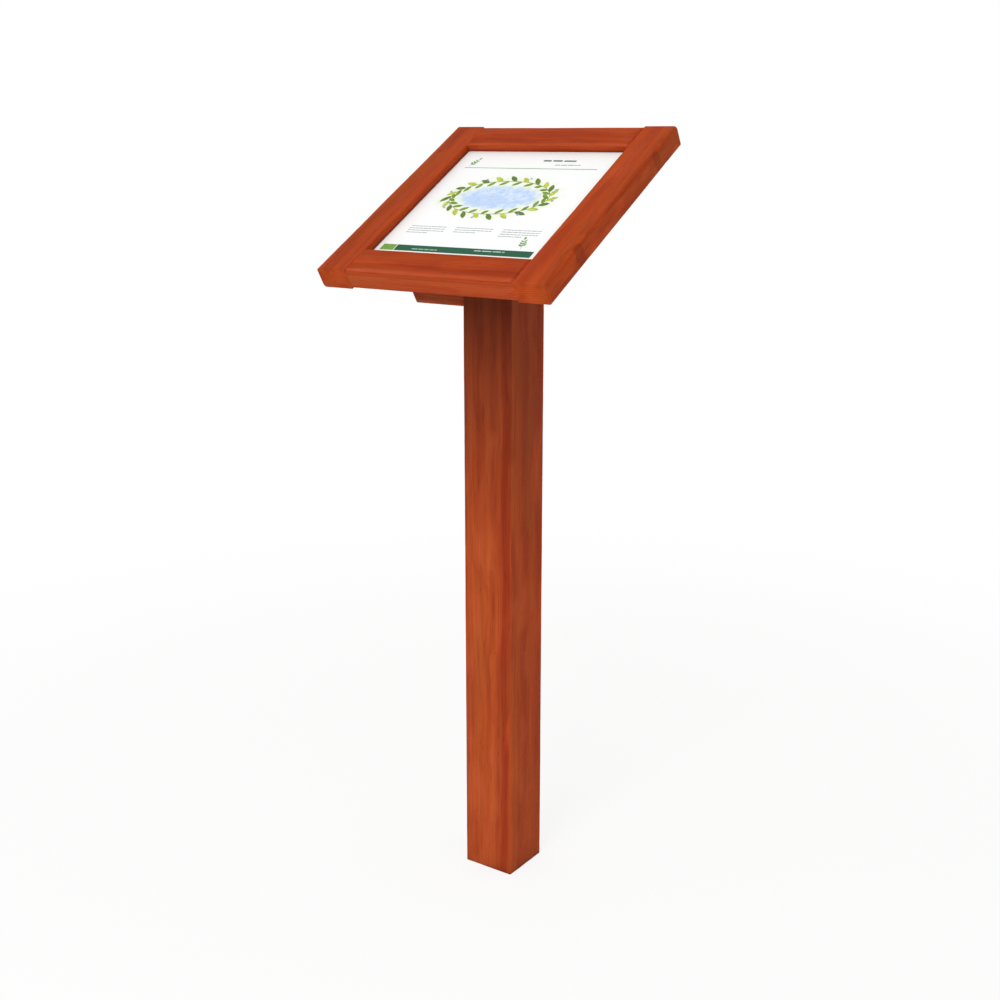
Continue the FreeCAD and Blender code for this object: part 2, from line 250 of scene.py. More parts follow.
# A field of noise in the timber: cycles to the metre along the grain and across it, how far it is
# shifted from the others, its detail and its roughness
Field = namedtuple("Field", "along across shift detail rough", defaults=(0.0, 2.0, 0.5))
RING_WAVE = Field(3.0, 14.0, detail=1.0)
RING_DRIFT = Field(0.9, 3.0, 7.0, detail=0.0)
KNOT_UNEVEN = Field(60.0, 90.0)
FIBRE = Field(14.0, 700.0, rough=0.6)
PORES = Field(90.0, 2600.0, detail=1.0)
GRAIN_SWAY = Field(5.0, 9.0, 5.0)
STREAK = Field(1.3, 46.0, 3.0)
PATCH = Field(5.5, 17.0, 11.0, rough=0.55)
BROWN = Field(2.4, 26.0, 17.0, detail=1.0)
FINE = Field(5.0, 210.0, 23.0, detail=1.0)
CHECKS = Field(7.0, 420.0, 29.0, detail=1.0, rough=0.3)
STRIPE_SWAY = Field(8.0, 20.0)
HANDLING = Field(16.0, 50.0)

# The width of a year ring, its late wood, and how far the fields bend the rings and the grain
RING = 0.0042
LATE_RISE, LATE_FALL = (0.30, 0.90), (1.0, 0.92)
WAVE_REACH, DRIFT_REACH, SWAY_REACH = 0.010, 0.030, 0.045

# A knot's shape, in times its radius: how uneven its rim is, between which distances lie its core, the
# rings bent round it and its dark rim, and how far the rings bend. It is longer along the grain, and it
# begins just outside the pith
KNOT_SQUEEZE = 0.72
KNOT_WAVE, KNOT_RAGGED = 0.6, 0.9
KNOT_CORE, KNOT_RINGS, KNOT_RIM = (1.95, 1.25), (4.2, 0.9), (1.0, 1.6)
KNOT_BEND = 0.9
KNOT_START = 0.004

# How the figure marks the stain, and the late wood, which is darkest on end grain
FINE_DARK = Mark(0.48, 0.74, 0.30, (0.82, 0.76, 0.74))
FIBRE_DARK = Mark(0.50, 0.70, 0.42, (0.72, 0.64, 0.60))
FIBRE_LIGHT = Mark(0.46, 0.30, 0.35, (1.22, 1.28, 1.35))
CHECK_DARK = Mark(0.69, 0.74, 0.36, (0.50, 0.42, 0.38))
LATE_FACTOR = (0.76, 0.66, 0.62)
LATE_SHARE, LATE_MORE_ON_ENDS = 0.30, 0.42
CORE_SHARE, CORE_FACTOR = 0.35, (0.55, 0.42, 0.36)
RIM_SHARE, RIM_FACTOR = 0.25, (0.45, 0.34, 0.30)

# How squarely end grain faces along the grain, and the upper face outwards, as (start, full)
END_GRAIN = (0.55, 0.85)
UPPER_FACE = (0.5, 0.9)

# The soft edge of a stripe, in times its half width, and how far apart two stripes' sways are
STRIPE_EDGE = (1.35, 0.7)
STRIPE_SHIFT = 90.0

# Along the post: painted shade under the frame, darkening towards the post's head, and grime at the foot,
# each (start, full, factor).
# The front face, which ends just before its rounded arrises, takes the most painted shade
HEAD_SHADE = (0.50, 1.10, (0.41, 0.43, 0.54))
HEAD_SHADE_FRONT = (-0.0484, -0.0490)
HEAD_SHADE_SHARE, HEAD_SHADE_MORE_IN_FRONT = 0.65, 0.35
FOOT_GRIME = ((0.055, -0.010, (0.80, 0.84, 0.80)), (0.010, -0.002, (0.66, 0.68, 0.62)))

# Painted shade that darkens the timber in the recess over the print, and between which depths it sets in
RECESS_SHADE_FACTOR = (0.62, 0.47, 0.40)
RECESS_SHADE_DEPTHS = (-0.0065, -0.0130)

# Where handling rubs the long arrises pale, how pale, the tint of end grain, and where and how strongly
# painted light lifts the far end's end grain
HANDLED = (0.30, 0.62)
RUB_FACTOR = (1.30, 1.45, 1.90)
END_FACTOR = (1.10, 1.20, 1.18)
FAR_END_LIGHT_SPAN, FAR_END_LIGHT_FACTOR = (0.0, 0.010), (2.1, 2.5, 2.4)

# Bump and gloss of the timber, and what each part of its figure adds to them
TIMBER_BUMP = 0.0005
LATE_HEIGHT, FIBRE_HEIGHT, PORE_HEIGHT, CHECK_DEPTH = 0.45, 0.55, 0.25, 0.60
TIMBER_ROUGHNESS, FIBRE_ROUGHNESS, LATE_ROUGHNESS = 0.60, 0.16, -0.06
TIMBER_SPECULAR = 0.09

# A knot: its place along the grain, its angle round the pith, and its radius
Knot = namedtuple("Knot", "place angle radius")

# A stripe of stain, grime, painted shade or painted highlight: the timber's own axis that its place is on,
# half its width, how far it wanders, and its factor on the colour. On x, along the grain, it marks the upper
# face alone
Stripe = namedtuple("Stripe", "axis place half wander factor")

# How pale the long arrises are rubbed, and how much painted light lifts the far end's end grain
WearAndEndLight = namedtuple("WearAndEndLight", "arrises far_end", defaults=(0.0,))


class Timber(Graph):
    """Stained softwood as a solid texture. Its own x runs along the grain, y and z across it."""

    def __init__(self, name, sloping, along, seed):
        super().__init__(name)
        self.seed = seed
        place, normal = self.here(), self.add("NewGeometry", {}).outputs["Normal"]
        if sloping:
            place, normal = slope_place(self, place), slope_direction(self, normal)
        parts, facing = list(self.split(place)), self.split(normal)
        self.x = parts.pop(along)
        self.y, self.z = parts
        self.upward = facing[Z]
        self.end_grain = self.step(self.math("ABSOLUTE", facing[along]), *END_GRAIN)
        self.body = (self.x, self.y, self.z)
        sway = self.swing(self.field(GRAIN_SWAY, self.body), SWAY_REACH)
        self.bent = (self.x, self.plus(self.y, sway), self.plus(self.z, sway))

    def field(self, field, parts, shift=0.0):
        """A field of noise through the straight body of the timber or through its bent grain."""
        factors = (field.along, field.across, field.across)
        place = self.stretched(parts, factors, self.seed + field.shift + shift)
        return self.noise(place, detail=field.detail, rough=field.rough)

    def round_pith(self, pith):
        """The distance from the tree's middle, and a function for the two parts of it at an angle."""
        from_y, from_z = self.minus(self.y, pith[0]), self.minus(self.z, pith[1])

        def turned(angle):
            c, s = math.cos(angle), math.sin(angle)
            outward = self.plus(self.times(from_y, c), self.times(from_z, s))
            sideways = self.minus(self.times(from_z, c), self.times(from_y, s))
            return outward, sideways

        return self.length(from_y, from_z), turned

    def grown(self, pith, knots):
        """The late wood of each year, and the cores and the dark rims of the knots."""
        wave, uneven = self.field(RING_WAVE, self.body), self.field(KNOT_UNEVEN, self.body)
        radius, turned = self.round_pith(pith)
        radius = self.plus(radius, self.times(wave, WAVE_REACH))
        radius = self.plus(radius, self.times(self.field(RING_DRIFT, self.body), DRIFT_REACH))
        cores, rims = 0.0, 0.0
        for knot in knots:
            size = knot.radius
            outward, sideways = turned(knot.angle)
            away = self.length(sideways, self.times(self.minus(self.x, knot.place), KNOT_SQUEEZE))
            away = self.plus(away, self.times(wave, size * KNOT_WAVE))
            away = self.plus(away, self.times(uneven, size * KNOT_RAGGED))
            zones = (KNOT_CORE, KNOT_RINGS, KNOT_RIM)
            core, near, rim = (self.step(away, size * start, size * full) for start, full in zones)
            there = self.step(outward, 0.0, KNOT_START)
            core, near = self.times(there, core), self.times(there, near)
            radius = self.plus(radius, self.times(near, size * KNOT_BEND))
            cores = self.math("MAXIMUM", cores, core)
            rims = self.math("MAXIMUM", rims, self.times(core, rim))
        year = self.math("FRACT", self.math("DIVIDE", radius, RING))
        return self.times(self.step(year, *LATE_RISE), self.step(year, *LATE_FALL)), cores, rims

    def striped(self, colour, stripes):
        """Wandering stripes over the colour."""
        for stripe in stripes:
            sway = self.field(STRIPE_SWAY, self.body, stripe.place * STRIPE_SHIFT)
            side = self.plus(getattr(self, stripe.axis), self.swing(sway, 2 * stripe.wander))
            off = self.math("ABSOLUTE", self.minus(side, stripe.place))
            marked = self.step(off, *(stripe.half * edge for edge in STRIPE_EDGE))
            if stripe.axis == "x":
                marked = self.times(marked, self.step(self.upward, *UPPER_FACE))
            colour = self.tinted(marked, colour, stripe.factor)
        return colour

    def sheltered(self, colour, patch, fine):
        """Painted shade under the frame at an upright post's head, most on its front, and grime at its foot.
        """
        # Painted shade under the frame, darker towards the post's head and most on its front face
        start, full, factor = HEAD_SHADE
        forward = self.plus(self.share(self.z, *HEAD_SHADE_FRONT, HEAD_SHADE_MORE_IN_FRONT), HEAD_SHADE_SHARE)
        colour = self.tinted(self.times(self.step(self.x, start, full), forward), colour, factor)
        for start, full, factor in FOOT_GRIME:
            rising = self.plus(self.x, self.swing(patch, 2 * start))
            rising = self.plus(rising, self.swing(fine, start))
            colour = self.tinted(self.step(rising, start, full), colour, factor)
        return colour

    def painted_light_and_wear(self, colour, wear):
        """Painted shade in the recess over the print, arrises rubbed pale, the tint of end grain, and painted
        light on the far end's end grain.
        """
        # Painted shade in the recess over the print, darker deeper down towards the sheet
        recess = self.times(self.attribute("recess"), self.step(self.z, *RECESS_SHADE_DEPTHS))
        colour = self.tinted(recess, colour, RECESS_SHADE_FACTOR)
        handled = self.step(self.field(HANDLING, self.body), *HANDLED)
        rub = self.times(self.times(self.attribute("arris"), handled), wear.arrises)
        colour = self.tinted(rub, colour, RUB_FACTOR)
        colour = self.tinted(self.end_grain, colour, END_FACTOR)
        # Painted light on the end grain at the far end, lifting the shade in the groove at the joint
        far_end = self.times(self.end_grain, self.step(self.x, *FAR_END_LIGHT_SPAN))
        return self.tinted(self.times(far_end, wear.far_end), colour, FAR_END_LIGHT_FACTOR)


def timber(name, sloping, along, pith, stain, seed, knots=(), stripes=(), sheltered=False, wear=WearAndEndLight(0.3)):
    """Stained softwood: year rings round a pith, fibres, fine checks, soft streaks and patchy stain.

    along is the axis the grain follows, and pith is where the tree's middle lies on the other two axes.
    """
    g = Timber(name, sloping, along, seed)
    late, cores, rims = g.grown(pith, knots)
    fibre, pores = g.field(FIBRE, g.body), g.field(PORES, g.body)
    streak, patch, brown, fine, checks = (
        g.field(field, g.bent) for field in (STREAK, PATCH, BROWN, FINE, CHECKS)
    )
    checks = g.step(checks, CHECK_DARK.start, CHECK_DARK.full)
    checks = g.times(checks, g.minus(1.0, g.end_grain))
    rings = g.plus(g.times(g.end_grain, LATE_MORE_ON_ENDS), LATE_SHARE)

    colour = g.mix(g.step(streak, *MIDDLE_STAIN), stain[0], stain[1])
    colour = g.mix(g.share(patch, *BRIGHT_STAIN), colour, stain[2])
    colour = g.mix(g.share(brown, *BROWN_STAIN), colour, stain[3])
    colour = g.marked(fine, colour, FINE_DARK)
    colour = g.tinted(g.times(late, rings), colour, LATE_FACTOR)
    colour = g.marked(fibre, colour, FIBRE_DARK)
    colour = g.marked(fibre, colour, FIBRE_LIGHT)
    colour = g.tinted(g.times(checks, CHECK_DARK.most), colour, CHECK_DARK.factor)
    colour = g.striped(colour, stripes)
    if sheltered:
        colour = g.sheltered(colour, patch, fine)
    colour = g.tinted(g.times(cores, CORE_SHARE), colour, CORE_FACTOR)
    colour = g.tinted(g.times(rims, RIM_SHARE), colour, RIM_FACTOR)
    colour = g.painted_light_and_wear(colour, wear)

    height = g.plus(g.times(late, LATE_HEIGHT), g.times(fibre, FIBRE_HEIGHT))
    height = g.plus(height, g.times(pores, PORE_HEIGHT))
    height = g.minus(height, g.times(checks, CHECK_DEPTH))
    roughness = g.plus(g.times(fibre, FIBRE_ROUGHNESS), g.times(late, LATE_ROUGHNESS))
    roughness = g.plus(roughness, TIMBER_ROUGHNESS)
    return g.finish(colour, roughness, height, TIMBER_BUMP, Specular_IOR_Level=TIMBER_SPECULAR)


def toned(stain, factor):
    """A stain's colours, each times a factor."""
    return tuple(tuple(c * f for c, f in zip(colour, factor)) for colour in stain)


# How finely the timber is divided: its cells, and the cuts beside its long arrises and its ends
TIMBER_CELL = 0.014
ARRIS_SUPPORTS = (0.0070, 0.0095)
END_SUPPORTS = (0.0020, 0.0065)
MERGE_DISTANCE = 1e-6
FLAT_ANGLE = math.radians(0.2)

# How far the faces, the long arrises and the arrises at the ends wander inwards, how deep the post's
# ends are chipped, and the cycles to the metre of the slow and the quick unevenness
FACE_WANDER = 0.00025
ARRIS_WANDER = 0.0007
END_WANDER = 0.0002
POST_CHIPS = 0.0020
SLOW_CYCLES, QUICK_CYCLES = 9.0, 55.0

# Sides that meet at more than the first angle make an arris, and at more than the second a sharp edge.
# A face whose normal has this much of an axis faces along it
ARRIS_ANGLE = math.radians(1)
SMOOTH_ANGLE = math.radians(40)
FACING = 0.7

# A rail's hollow: half its width, its depth, its cuts to each side, and the shares of the depth that it
# has everywhere and only where the slow unevenness is highest
HOLLOW_HALF = 0.0095
HOLLOW_DEPTH = 0.0006
HOLLOW_CUTS = 4
HOLLOW_ALWAYS, HOLLOW_SOMETIMES = 0.55, 0.45


class Hollow:
    """A slight planed hollow along a rail's face, behind one of its arrises."""

    def __init__(self, middle):
        self.middle = middle

    def places(self):
        """Where the mesh is cut across the hollow, up the slope."""
        return [self.middle + HOLLOW_HALF * k / HOLLOW_CUTS for k in range(-HOLLOW_CUTS, HOLLOW_CUTS + 1)]

    def at(self, v, share):
        """How deep the hollow is at a distance up the slope, for a share of its full depth."""
        away = abs(v - self.middle) / HOLLOW_HALF
        return HOLLOW_DEPTH * share * 0.5 * (1 + math.cos(math.pi * away)) if away < 1 else 0.0


def cut_along(mesh, axis, places):
    """Cuts a mesh by planes square to one axis, without taking anything away."""
    normal = Vector((0, 0, 0))
    normal[axis] = 1
    for place in places:
        point = Vector((0, 0, 0))
        point[axis] = place
        everything = mesh.verts[:] + mesh.edges[:] + mesh.faces[:]
        bmesh.ops.bisect_plane(mesh, geom=everything, dist=MERGE_DISTANCE, plane_co=point, plane_no=normal)


def grid_places(low, high, supports, extra=()):
    """Evenly spaced places between two ends, with supports beside each end and any extra places."""
    count = max(1, round((high - low) / TIMBER_CELL))
    even = [low + (high - low) * k / count for k in range(1, count)]
    near = [low + s for s in supports] + [high - s for s in supports]
    margin = supports[-1]
    inner = [p for p in even if low + margin < p < high - margin]
    inner = [p for p in inner if all(abs(p - q) > TIMBER_CELL / 3 for q in extra)]
    return sorted(inner + list(extra) + [p for p in near if low < p < high])


def divided(node, sloping, along, hollow):
    """A CAD node's solid as a fine mesh, turned to the frame's own axes if it slopes."""
    bm = bmesh.new()
    bm.from_mesh(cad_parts[node].data)
    if sloping:
        bmesh.ops.transform(bm, matrix=SLOPE.inverse, verts=bm.verts)
    bmesh.ops.remove_doubles(bm, verts=bm.verts, dist=MERGE_DISTANCE)
    bmesh.ops.dissolve_limit(bm, angle_limit=FLAT_ANGLE, verts=bm.verts, edges=bm.edges)
    low = [min(v.co[k] for v in bm.verts) for k in range(3)]
    high = [max(v.co[k] for v in bm.verts) for k in range(3)]
    for axis in (X, Y, Z):
        supports = END_SUPPORTS if axis == along else ARRIS_SUPPORTS
        extra = hollow.places() if hollow and axis == Y else ()
        cut_along(bm, axis, grid_places(low[axis], high[axis], supports, extra))
    bm.normal_update()
    return bm


def wear_down(bm, sloping, along, seed, hollow, chips):
    """Moves the surface inwards, most at its arrises, and notes the long arrises and the recess."""
    long_arris = bm.verts.layers.float.new("arris")
    recess = bm.verts.layers.float.new("recess")
    moves = []
    for v in bm.verts:
        normals = [f.normal for f in v.link_faces]
        sides = [n for n in normals if abs(n[along]) < FACING]
        bent = any(sides[0].angle(n, 0.0) > ARRIS_ANGLE for n in sides[1:])
        ended = 0 < len(sides) < len(normals)
        v[long_arris] = float(bent)
        v[recess] = float(sloping and SLOPE.over_print(v.co))
        spot = v.co + Vector((seed, seed, 0))
        slow, quick = (0.5 + 0.5 * noise.noise(spot * cycles) for cycles in (SLOW_CYCLES, QUICK_CYCLES))
        depth = FACE_WANDER * slow if sides else 0.0
        if bent or ended:
            depth += (chips if ended else ARRIS_WANDER) * quick * slow
        if hollow and v.normal.z > FACING:
            depth += hollow.at(v.co.y, HOLLOW_ALWAYS + HOLLOW_SOMETIMES * slow)
        moves.append((v, v.normal * -depth))
    for v, move in moves:
        v.co += move


def placed(name, data):
    """A new object in the scene."""
    thing = bpy.data.objects.new(name, data)
    bpy.context.scene.collection.objects.link(thing)
    return thing


def new_piece(name, bm, material):
    """A finished mesh as a piece of one material."""
    mesh = bpy.data.meshes.new(name)
    bm.to_mesh(mesh)
    bm.free()
    mesh.materials.append(material)
    return placed(name, mesh)


def dressed(node, material, sloping, along, seed, hollow, chips):
    """Timber in place of a CAD node: the same solid, finely divided, its arrises uneven as from handling.

    chips is how deep the arrises at the two ends are broken.
    """
    bm = divided(node, sloping, along, hollow)
    wear_down(bm, sloping, along, seed, hollow, chips)
    if sloping:
        bmesh.ops.transform(bm, matrix=SLOPE.matrix, verts=bm.verts)
    for layer in list(bm.loops.layers.uv.values()):
        bm.loops.layers.uv.remove(layer)
    piece = new_piece(node + "_timber", bm, material)
    mesh = piece.data
    for name in ("custom_normal", "sharp_face", "sharp_edge"):
        if name in mesh.attributes:
            mesh.attributes.remove(mesh.attributes[name])
    mesh.shade_smooth()
    mesh.set_sharp_from_angle(angle=SMOOTH_ANGLE)
    flats = piece.modifiers.new("flat faces stay flat", "WEIGHTED_NORMAL")
    flats.keep_sharp = True
    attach(piece, "root")
    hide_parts(node)


def member(node, slot, along, pith, stain, seed, sloping=True, hollow=None, chips=END_WANDER, **figure):
    """A timber piece cut from its own stretch of tree, its material named after it.

    figure is what else timber takes.
    """
    name = "stained " + node.removeprefix("side_").replace("_", " ")
    look = timber(name, sloping, along, pith, stain, seed, **figure)
    dressed(node, look, sloping, along, seed, hollow, chips)


def frame_members():
    """Two stiles and two rails, with painted shade in the rails' hollows and where they meet the right stile,
    painted highlights on the rails' ridges, and painted shade along the right stile's outer arris.
    """
    outer, head = SLOPE.box("right_stile")[1].x, SLOPE.opening_high.y
    # Painted shade on each rail's upper face where it meets the right stile
    far_joint_shade = Stripe("x", outer - 0.0635, 0.0024, 0.0, (0.82, 0.62, 0.50))
    member(
        "left_stile", "frame_timber", Y, (-0.205, -0.115), toned(FRAME_STAIN, (0.96, 0.98, 1.00)), 1.3,
        knots=[Knot(0.372, 1.62, 0.0040)],
        stripes=[Stripe("y", -outer + 0.016, 0.007, 0.012, (0.94, 0.99, 0.85))], wear=WearAndEndLight(0.15),
    )
    member(
        "right_stile", "frame_timber", Y, (0.190, -0.130), toned(FRAME_STAIN, (1.03, 1.08, 1.08)), 4.9,
        knots=[Knot(0.099, 1.263, 0.009), Knot(0.372, 1.263, 0.008)],
        stripes=[
            # Painted shade: a dark wavy band along the outer arris, where the top face turns into the side
            Stripe("y", outer - 0.0020, 0.0052, 0.038, (0.85, 0.85, 0.84)),
            Stripe("y", outer - 0.0160, 0.0045, 0.022, (0.96, 1.02, 0.90)),
            Stripe("y", outer + 0.0008, 0.0014, 0.0, (1.22, 1.31, 1.45)),
        ],
        wear=WearAndEndLight(0.10),
    )
    member(
        "bottom_rail", "frame_timber", X, (0.045, -0.120), toned(FRAME_STAIN, (1.00, 1.02, 1.05)), 8.2,
        hollow=Hollow(0.0185),
        stripes=[
            # Painted shade in the hollow, painted highlights at the front arris, and painted shade on the
            # sides just under the face
            Stripe("y", 0.0175, 0.0062, 0.0100, (0.88, 0.75, 0.44)),
            Stripe("y", 0.0042, 0.0025, 0.0022, (1.01, 1.25, 3.00)),
            Stripe("y", -0.0010, 0.0017, 0.0, (1.12, 1.36, 2.40)),
            Stripe("z", -0.0068, 0.0042, 0.0010, (0.85, 0.77, 0.68)),
            far_joint_shade,
        ],
        wear=WearAndEndLight(0.12, 1.0),
    )
    member(
        "top_rail", "frame_timber", X, (0.410, -0.105), toned(FRAME_STAIN, (1.04, 1.07, 0.97)), 12.6,
        hollow=Hollow(head + 0.014),
        stripes=[
            # Painted shade in the hollow, and a painted highlight at the inner arris beside it
            Stripe("y", head + 0.013, 0.0055, 0.0090, (0.85, 0.75, 0.66)),
            Stripe("y", head + 0.003, 0.0025, 0.0010, (1.06, 1.25, 2.60)),
            far_joint_shade,
        ],
        wear=WearAndEndLight(0.15, 1.0),
    )


def members_below():
    """The post, striped along its front and its right side, the cleat at its head, and the battens."""
    member(
        "post", "post_timber", Z, (0.012, 0.030), POST_STAIN, 21.7, sloping=False, chips=POST_CHIPS,
        knots=[Knot(0.300, 1.70, 0.0065), Knot(0.705, 2.95, 0.0055), Knot(0.905, 1.20, 0.0050)],
        stripes=[
            Stripe("y", 0.0362, 0.0066, 0.0065, (0.86, 0.67, 0.60)),
            Stripe("y", 0.0460, 0.0024, 0.0004, (0.90, 0.80, 0.88)),
            Stripe("y", 0.0060, 0.0060, 0.0200, (1.04, 1.10, 1.14)),
            Stripe("z", -0.0450, 0.0042, 0.0010, (1.10, 1.22, 1.24)),
            Stripe("z", -0.0330, 0.0045, 0.0120, (1.02, 1.14, 1.04)),
            Stripe("z", 0.0420, 0.0065, 0.0120, (1.05, 0.90, 0.88)),
            Stripe("z", -0.0512, 0.0017, 0.0, (1.00, 1.07, 1.20)),
        ],
        # The post's head takes painted shade under the frame, and its foot takes grime
        sheltered=True, wear=WearAndEndLight(0.08),
    )
    member("side_cleat", "post_timber", X, (0.020, 1.160), CLEAT_STAIN, 27.1, sloping=False, wear=WearAndEndLight(0.9))
    member("lower_batten", "batten_timber", X, (0.19, -0.110), UNDER_STAIN, 31.0)
    member("upper_batten", "batten_timber", X, (0.24, -0.095), UNDER_STAIN, 36.4)


def give(nodes, material):
    """Gives a material to CAD nodes that are shown as they are."""
    for node in nodes:
        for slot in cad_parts[node].material_slots:
            slot.material = material


# The small timber pieces' pith and seed
SMALL_PITH, SMALL_SEED = (0.05, -0.09), 41.0


def give_timber(nodes, name, along, stain):
    """Gives timber to small pieces that keep their CAD mesh."""
    give(nodes, timber(name, True, along, SMALL_PITH, stain, SMALL_SEED))


# Steel: the tarnish's noise and its tint, the zinc flakes' share and tint, and the scratches
TARNISH, TARNISH_TINT = (160.0, 3.0, 0.6), 0.82
FLAKE_SHARE, FLAKE_TINT = 0.45, 0.62
SCRATCHES, SCRATCH_RISE = (900.0, 2.0), 0.00005
TARNISH_ROUGHNESS, TARNISH_MIDDLE = 0.25, 0.12


def steel(name, colour, roughness, spangle=0.0):
    """Bright or zinc-coated steel, a little uneven, with an optional zinc spangle."""
    g = Graph(name)
    place = g.here()
    cloud = g.noise(place, *TARNISH)
    tint = g.mix(g.step(cloud, *SOFT_TONES), tuple(c * TARNISH_TINT for c in colour), colour)
    if spangle:
        cells = g.add("TexVoronoi", {"Vector": place, "Scale": spangle}).outputs["Color"]
        flake = g.times(g.split(cells)[0], FLAKE_SHARE)
        tint = g.mix(flake, tint, tuple(c * FLAKE_TINT for c in colour))
    gloss = g.plus(g.times(cloud, TARNISH_ROUGHNESS), roughness - TARNISH_MIDDLE)
    return g.finish(tint, gloss, g.noise(place, *SCRATCHES), SCRATCH_RISE, Metallic=1.0)


# Rotary-cut veneer: its noises as factors along, across and through, its year lines to the metre and
# how far they sway, and the thickness of a ply
VENEER_BEND, VENEER_CLOUD, VENEER_FIBRE = (3.5, 9.0, 9.0), (5.0, 14.0, 9.0), (16.0, 800.0, 800.0)
VENEER_LINES = 22.0
VENEER_SWAY = 5.0
PLY = 0.0018
VENEER_DARK, VENEER_LIGHT = (0.37, 0.22, 0.10), (0.45, 0.27, 0.13)
FIGURE_SHARE, FIGURE_FACTOR = 0.55, (0.70, 0.60, 0.50)
VENEER_FIBRE_DARK = Mark(0.48, 0.68, 0.55, (0.68, 0.60, 0.50))
PLY_DARK = Mark(0.45, 0.55, 0.25, (0.75, 0.66, 0.56))
VENEER_ROUGHNESS, VENEER_BUMP = 0.55, 0.0002


def plywood():
    """Sealed ply: veneer figure on the faces, plies at the edges."""
    g = Graph("sealed plywood")
    parts = g.split(slope_place(g, g.here()))
    bend, cloud = g.noise(g.stretched(parts, VENEER_BEND)), g.noise(g.stretched(parts, VENEER_CLOUD))
    fibre = g.noise(g.stretched(parts, VENEER_FIBRE), rough=0.6)
    layers = g.plus(g.times(parts[1], VENEER_LINES), g.times(bend, VENEER_SWAY))
    layers = g.math("FRACT", layers)
    figure = g.times(g.step(layers, 0.10, 0.85), g.step(layers, 1.0, 0.90))
    plies = g.math("FRACT", g.times(parts[2], 1 / PLY))
    colour = g.mix(g.step(cloud, *TWO_TONES), VENEER_DARK, VENEER_LIGHT)
    colour = g.tinted(g.times(figure, FIGURE_SHARE), colour, FIGURE_FACTOR)
    colour = g.marked(fibre, colour, VENEER_FIBRE_DARK)
    colour = g.marked(plies, colour, PLY_DARK)
    return g.finish(colour, VENEER_ROUGHNESS, fibre, VENEER_BUMP)


# How much wider the clouds of a matt surface are than its grain, and the grain's part in its gloss
MATT_CLOUD = 0.1
MATT_GRAIN_ROUGHNESS = 0.2


def matt(name, dark, light, scale, roughness, rise):
    """A matt moulded or foamed surface with fine grain of so many cycles to the metre."""
    g = Graph(name)
    place = g.here()
    cloud, grain = g.noise(place, scale * MATT_CLOUD), g.noise(place, scale, 3.0)
    colour = g.mix(g.step(cloud, *TWO_TONES), dark, light)
    return g.finish(colour, g.plus(g.times(grain, MATT_GRAIN_ROUGHNESS), roughness), grain, rise)


# The print, in millimetres from the opening's lower left corner: its trim, foot band and wreath
MM, PER_METRE = 0.001, 1000.0
TRIM_LEFT, TRIM_RIGHT, TRIM_FOOT, TRIM_HEAD = 9.0, 21.0, 20.5, 8.0
TRIM_EDGE = (-0.6, 0.6)
BAND_TALL = 16.5
PATCH_WIDE, PATCH_GAP = 30.0, 1.5
WREATH_MIDDLE = (152.0, 186.0)
WREATH_HALF = (98.0, 50.0)

# The printed colours, linear: paper and border, the glow under the wreath, and the pool inside it
PAPER, BORDER, CREAM = (0.955, 0.976, 0.974), (0.945, 0.960, 0.945), (0.93, 0.90, 0.80)
GLOW_GREEN, GLOW_PALE = (0.78, 0.88, 0.56), (0.92, 0.95, 0.86)
POOL_BLUE, POOL_PALE = (0.45, 0.63, 0.94), (0.68, 0.80, 0.97)
POOL_RIPPLE, POOL_DEEP = (0.90, 0.94, 0.98), (0.33, 0.50, 0.87)
SPECKS, DAMP = (0.45, 0.42, 0.36), (0.52, 0.50, 0.40)

# The washes' ovals: middle, half sizes and softness. All are uneven by the same noise. Noise on the
# print is in cycles to the millimetre
OVAL_RAGGED = 1.4
GLOW_OVAL = (WREATH_MIDDLE, (WREATH_HALF[0] * 1.16, WREATH_HALF[1] * 1.30), 0.34)
POOL_OVAL = (WREATH_MIDDLE, (WREATH_HALF[0] * 0.80, WREATH_HALF[1] * 0.70), 0.30)
DEEP_OVAL = ((WREATH_MIDDLE[0] - 22.0, WREATH_MIDDLE[1] - 9.0), (46.0, 17.0), 0.5)

# Shares of the glow, of the specks and of the damp, how far the border's cream fades in and how low the
# damp is full, and the sheet's gloss and bump
GLOW_SHARE, SPECK_SHARE, DAMP_SHARE = 0.75, 0.10, 0.12
CREAM_FADE, DAMP_FULL = 6.0, 6.0
SHEET_ROUGHNESS, SHEET_CLOUD_ROUGHNESS = 0.30, 0.16
SHEET_RISE, SHEET_SPECULAR = 0.00003, 0.3


def print_size():
    """The width and the height of the opening over the print, in millimetres."""
    return (SLOPE.opening_high - SLOPE.opening_low) * PER_METRE


def trimmed_paper(g, s, t):
    """White paper in a border that is cream at the foot."""
    wide, tall = print_size()
    inside_s = g.math("MINIMUM", g.minus(s, TRIM_LEFT), g.minus(wide - TRIM_RIGHT, s))
    inside_t = g.math("MINIMUM", g.minus(t, TRIM_FOOT), g.minus(tall - TRIM_HEAD, t))
    inside = g.math("MINIMUM", inside_s, inside_t)
    border = g.mix(g.step(t, TRIM_FOOT, TRIM_FOOT - CREAM_FADE), BORDER, CREAM)
    return g.mix(g.step(inside, *TRIM_EDGE), border, PAPER)


